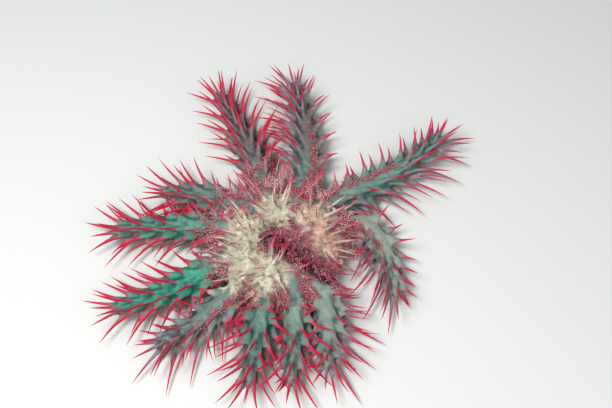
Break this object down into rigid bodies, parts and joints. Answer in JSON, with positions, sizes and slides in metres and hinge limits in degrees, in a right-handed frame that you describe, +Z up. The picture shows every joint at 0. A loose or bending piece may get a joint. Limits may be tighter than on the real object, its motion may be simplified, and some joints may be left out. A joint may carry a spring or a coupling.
{
  "type": "crown of thorns starfish",
  "caption": "Life-size still model of a crown-of-thorns starfish: a puffed disc with spread, curving arms, all set with long tapering spines, resting on its tube feet.",
  "frame": {"origin": "middle of the mouth, on the floor the animal lies on", "axes": "+Z up, out of the animal's back; +X to the right and +Y away as the animal is seen in its pose"},
  "size_m": [0.3348, 0.3257, 0.0588],
  "materials": {
    "disc_flesh": "soft wet skin",
    "arm_flesh": "soft wet skin",
    "mouth_lip": "soft wet skin",
    "spine": "satin, thin skin over chalky spine",
    "gill": "soft wet skin",
    "tube_foot": "translucent soft skin"
  },
  "bodies": {
    "root": {"disc": "disc_flesh", "mouth": "mouth_lip", "arm_01": "arm_flesh", "arm_02": "arm_flesh", "arm_03": "arm_flesh", "arm_04": "arm_flesh", "arm_05": "arm_flesh", "arm_06": "arm_flesh", "arm_07": "arm_flesh", "arm_08": "arm_flesh", "arm_09": "arm_flesh", "arm_10": "arm_flesh", "arm_11": "arm_flesh"}
  },
  "joints": []
}
